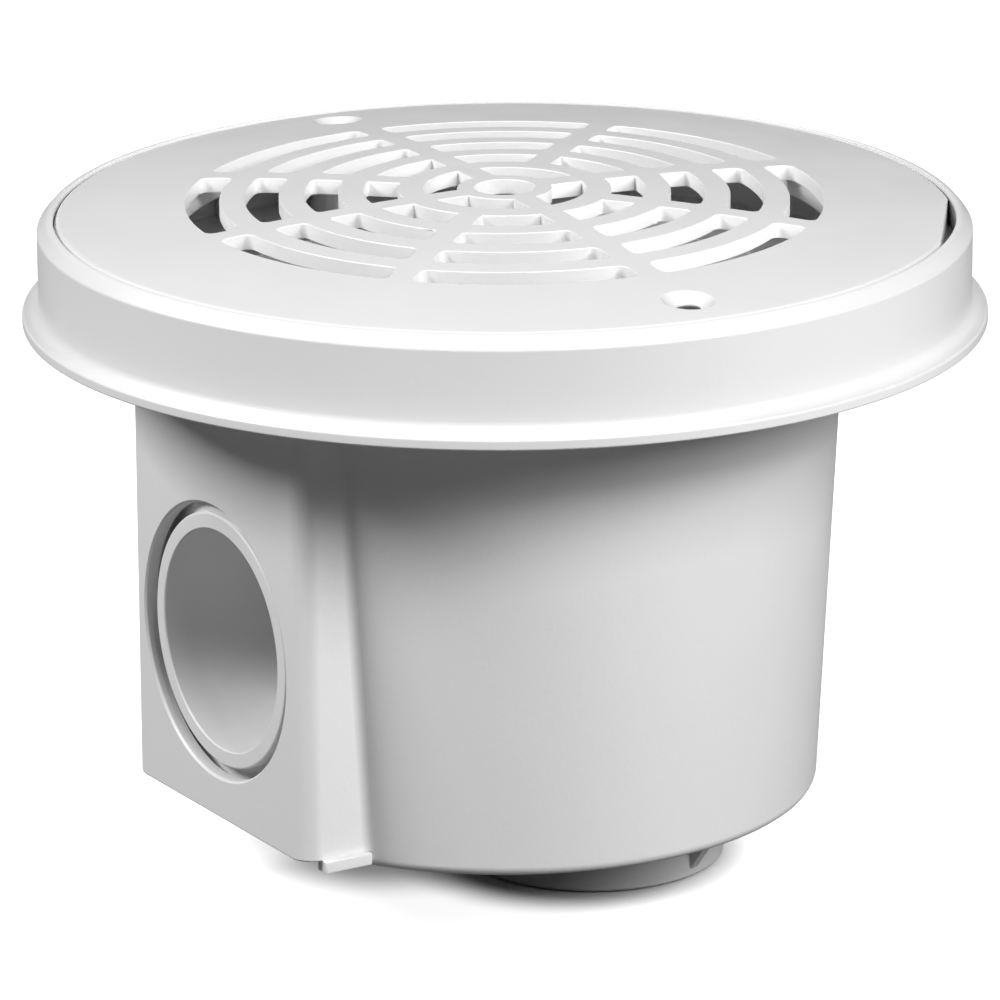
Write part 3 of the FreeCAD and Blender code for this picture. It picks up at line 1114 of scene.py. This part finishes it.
def painted_shadow_patch(spot, core, edge, depth):
    # A soft patch of painted shadow on the table: the glow is taken away in full inside the core radius and
    # the patch is gone at the edge radius; inside it, the lamps' real shade shows
    away = paper_tree.nodes.new("ShaderNodeVectorMath")
    away.operation = "DISTANCE"
    away.inputs[1].default_value = spot
    paper_tree.links.new(paper_place, away.inputs[0])
    fade = paper_tree.nodes.new("ShaderNodeMapRange")
    fade.interpolation_type = "SMOOTHSTEP"
    fade.inputs["From Min"].default_value = core
    fade.inputs["From Max"].default_value = edge
    fade.inputs["To Min"].default_value = 1 - depth
    paper_tree.links.new(away.outputs["Value"], fade.inputs["Value"])
    return fade.outputs["Result"]


# Painted shadows: the patches under the port and under the housing take the table's glow away
port_painted_shadow = painted_shadow_patch((0.0195, 0.0015, 0), core=0.0300, edge=0.0465, depth=1.0)
housing_painted_shadow = painted_shadow_patch((-0.0124, 0.0334, 0), core=0.022, edge=0.046, depth=0.8)
glow_left_by_painted_shadows = calc(paper_tree, "MULTIPLY", port_painted_shadow, housing_painted_shadow)
glow = calc(paper_tree, "MULTIPLY", glow_left_by_painted_shadows, TABLE_GLOW)
paper_tree.links.new(calc(paper_tree, "MULTIPLY", glow, seen), paper.inputs["Emission Strength"])
table.data.materials.append(table_paper)

SKY_LIGHT = 0.015
world = bpy.data.worlds.new("studio")
bpy.context.scene.world = world
world.use_nodes = True
sky_tree = world.node_tree
sky = sky_tree.nodes["Background"]
sky.inputs["Color"].default_value = (1, 1, 1, 1)
ray = sky_tree.nodes.new("ShaderNodeLightPath")
sky_seen = calc(sky_tree, "MAXIMUM", ray.outputs["Is Camera Ray"], ray.outputs["Is Transmission Ray"])
sky_tree.links.new(spread(sky_tree, sky_seen, 0, 1, SKY_LIGHT, 1.0), sky.inputs["Strength"])

# The photograph is taken from the front right of the side socket, looking a little down
VIEW_ANGLE = math.radians(58.449)
VIEW_PITCH = math.radians(17.17)
BOX_DISTANCE = 1.5
BOX_SIDE = 0.5
BOX_AIM = Vector((0, 0, 0.1))


def from_camera(right, toward, high):
    # A place given from the drain's axis as the camera sees it
    along = Vector((math.cos(VIEW_ANGLE), math.sin(VIEW_ANGLE), 0))
    across = Vector((math.sin(VIEW_ANGLE), -math.cos(VIEW_ANGLE), 0))
    return across * right - along * toward + Vector((0, 0, high))


def soft_box(name, turn, climb, power):
    # A square soft box, turned from the camera's side and raised by the angles given
    turn = math.radians(turn)
    climb = math.radians(climb)
    reach = BOX_DISTANCE * math.cos(climb)
    high = BOX_AIM.z + BOX_DISTANCE * math.sin(climb)
    spot = from_camera(reach * math.sin(turn), reach * math.cos(turn), high)
    bpy.ops.object.select_all(action="DESELECT")
    bpy.ops.object.light_add(type="AREA", location=spot)
    lamp = bpy.context.object
    lamp.name = name
    lamp.data.shape = "SQUARE"
    lamp.data.size = BOX_SIDE
    lamp.data.energy = power
    lamp.rotation_euler = (BOX_AIM - spot).to_track_quat("-Z", "Y").to_euler()


soft_box("left box", -78, 37, 21.5)
soft_box("front box", 31, 38, 13.8)
soft_box("right box", 58, 27, 13.2)

CAMERA_SPOT = (-0.8222, -1.3364, 0.5735)
CAMERA_ROLL = -0.0051
bpy.ops.object.select_all(action="DESELECT")
bpy.ops.object.camera_add(location=CAMERA_SPOT)
camera = bpy.context.object
camera.name = "camera"
forward = from_camera(0, -math.cos(VIEW_PITCH), -math.sin(VIEW_PITCH))
level = forward.to_track_quat("-Z", "Y").to_matrix()
camera.rotation_euler = (level @ Matrix.Rotation(CAMERA_ROLL, 3, "Z")).to_euler()
camera.data.lens = 258.9
camera.data.sensor_width = 36
camera.data.clip_end = 30
bpy.context.scene.camera = camera
bpy.context.scene.view_settings.view_transform = "Standard"
